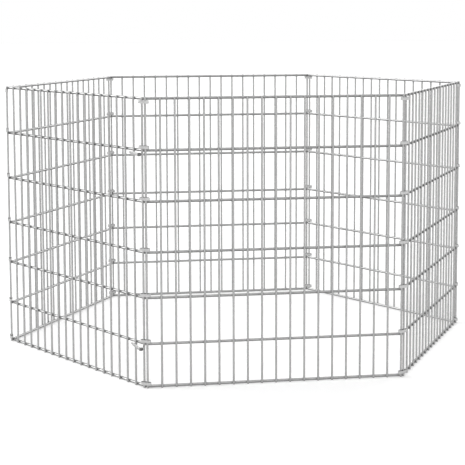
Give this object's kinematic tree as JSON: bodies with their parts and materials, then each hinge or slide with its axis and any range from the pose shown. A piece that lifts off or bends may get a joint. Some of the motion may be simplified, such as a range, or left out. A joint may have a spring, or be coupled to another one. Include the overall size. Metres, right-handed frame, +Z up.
{
  "type": "folding wire animal pen",
  "caption": "Free-standing hexagonal pen of welded galvanised wire panels, joined by sliding strip sleeves at the corners so that it folds flat, with strip latch hooks at one corner.",
  "frame": {"origin": "on the ground at the middle of the ring", "axes": "+X to the right along the front and back panels, +Y from the front panel to the back panel, +Z up"},
  "size_m": [1.101, 0.9682, 0.6025],
  "materials": {
    "wire": "hot-dip galvanised, satin grey",
    "sleeve": "bright zinc-plated strip",
    "hook": "bright zinc-plated strip"
  },
  "bodies": {
    "panel_front": {"panel_front": "wire"},
    "panel_front_right": {"panel_front_right": "wire"},
    "panel_back_right": {"panel_back_right": "wire"},
    "panel_back": {"panel_back": "wire"},
    "panel_back_left": {"panel_back_left": "wire"},
    "panel_front_left": {"panel_front_left": "wire"},
    "sleeves_front_right": {"sleeve_front_right_1": "sleeve", "sleeve_front_right_2": "sleeve", "sleeve_front_right_3": "sleeve", "sleeve_front_right_4": "sleeve", "sleeve_front_right_5": "sleeve", "sleeve_front_right_6": "sleeve", "sleeve_front_right_7": "sleeve"},
    "sleeves_right": {"sleeve_right_1": "sleeve", "sleeve_right_2": "sleeve", "sleeve_right_3": "sleeve", "sleeve_right_4": "sleeve", "sleeve_right_5": "sleeve", "sleeve_right_6": "sleeve", "sleeve_right_7": "sleeve"},
    "sleeves_back_right": {"sleeve_back_right_1": "sleeve", "sleeve_back_right_2": "sleeve", "sleeve_back_right_3": "sleeve", "sleeve_back_right_4": "sleeve", "sleeve_back_right_5": "sleeve", "sleeve_back_right_6": "sleeve", "sleeve_back_right_7": "sleeve"},
    "sleeves_back_left": {"sleeve_back_left_1": "sleeve", "sleeve_back_left_2": "sleeve", "sleeve_back_left_3": "sleeve", "sleeve_back_left_4": "sleeve", "sleeve_back_left_5": "sleeve", "sleeve_back_left_6": "sleeve", "sleeve_back_left_7": "sleeve"},
    "sleeves_left": {"sleeve_left_1": "sleeve", "sleeve_left_2": "sleeve", "sleeve_left_3": "sleeve", "sleeve_left_4": "sleeve", "sleeve_left_5": "sleeve", "sleeve_left_6": "sleeve", "sleeve_left_7": "sleeve"},
    "sleeves_front_left": {"sleeve_front_left_1": "sleeve", "sleeve_front_left_2": "sleeve", "sleeve_front_left_3": "sleeve", "sleeve_front_left_4": "sleeve", "sleeve_front_left_5": "sleeve", "sleeve_front_left_6": "sleeve", "sleeve_front_left_7": "sleeve"},
    "latch_hook_lower": {"latch_hook_lower": "hook"},
    "latch_hook_upper": {"latch_hook_upper": "hook"}
  },
  "joints": [
    {"name": "ring_fold", "type": "hinge", "parent": "panel_back", "child": "panel_back_right", "pos_m": [0.27375, 0.47415, 0], "axis": [0, 0, 1], "range_deg": [0, 60]},
    {"name": "front_right_panel_turn", "type": "hinge", "parent": "panel_back_right", "child": "panel_front_right", "pos_m": [0.53967, 0, 0], "axis": [0, 0, -1], "range_deg": [0, 120]},
    {"name": "front_panel_turn", "type": "hinge", "parent": "panel_front_right", "child": "panel_front", "pos_m": [0.27375, -0.47415, 0], "axis": [0, 0, 1], "range_deg": [0, 60]},
    {"name": "back_left_panel_turn", "type": "hinge", "parent": "panel_back", "child": "panel_back_left", "pos_m": [-0.27375, 0.47415, 0], "axis": [0, 0, -1], "range_deg": [0, 60]},
    {"name": "front_left_panel_turn", "type": "hinge", "parent": "panel_back_left", "child": "panel_front_left", "pos_m": [-0.53967, 0, 0], "axis": [0, 0, 1], "range_deg": [0, 120]},
    {"name": "back_right_sleeves_turn", "type": "hinge", "parent": "panel_back", "child": "sleeves_back_right", "pos_m": [0.27, 0.47515, 0], "axis": [0, 0, 1], "range_deg": [0, 30]},
    {"name": "back_left_sleeves_turn", "type": "hinge", "parent": "panel_back", "child": "sleeves_back_left", "pos_m": [-0.27, 0.47515, 0], "axis": [0, 0, -1], "range_deg": [0, 30]},
    {"name": "right_sleeves_turn", "type": "hinge", "parent": "panel_back_right", "child": "sleeves_right", "pos_m": [0.543, 0.00577, 0], "axis": [0, 0, -1], "range_deg": [0, 60]},
    {"name": "left_sleeves_turn", "type": "hinge", "parent": "panel_back_left", "child": "sleeves_left", "pos_m": [-0.543, 0.00577, 0], "axis": [0, 0, 1], "range_deg": [0, 60]},
    {"name": "front_right_sleeves_turn", "type": "hinge", "parent": "panel_front_right", "child": "sleeves_front_right", "pos_m": [0.27649, -0.4714, 0], "axis": [0, 0, 1], "range_deg": [0, 30]},
    {"name": "front_left_sleeves_turn", "type": "hinge", "parent": "panel_front_left", "child": "sleeves_front_left", "pos_m": [-0.27649, -0.4714, 0], "axis": [0, 0, -1], "range_deg": [0, 30]},
    {"name": "latch_hook_lower_swing", "type": "hinge", "parent": "panel_front_left", "child": "latch_hook_lower", "pos_m": [-0.2915, -0.44542, 0.08545], "axis": [0, 0, -1], "range_deg": [-18, 140]},
    {"name": "latch_hook_upper_swing", "type": "hinge", "parent": "panel_front_left", "child": "latch_hook_upper", "pos_m": [-0.2915, -0.44542, 0.48695], "axis": [0, 0, -1], "range_deg": [-18, 140]}
  ],
  "couplings": [
    {"joint": "front_right_panel_turn", "follows": "ring_fold", "ratio": 2},
    {"joint": "front_panel_turn", "follows": "ring_fold", "ratio": 1},
    {"joint": "back_left_panel_turn", "follows": "ring_fold", "ratio": 1},
    {"joint": "front_left_panel_turn", "follows": "ring_fold", "ratio": 2},
    {"joint": "back_right_sleeves_turn", "follows": "ring_fold", "ratio": 0.5},
    {"joint": "back_left_sleeves_turn", "follows": "ring_fold", "ratio": 0.5},
    {"joint": "right_sleeves_turn", "follows": "ring_fold", "ratio": 1},
    {"joint": "left_sleeves_turn", "follows": "ring_fold", "ratio": 1},
    {"joint": "front_right_sleeves_turn", "follows": "ring_fold", "ratio": 0.5},
    {"joint": "front_left_sleeves_turn", "follows": "ring_fold", "ratio": 0.5}
  ]
}
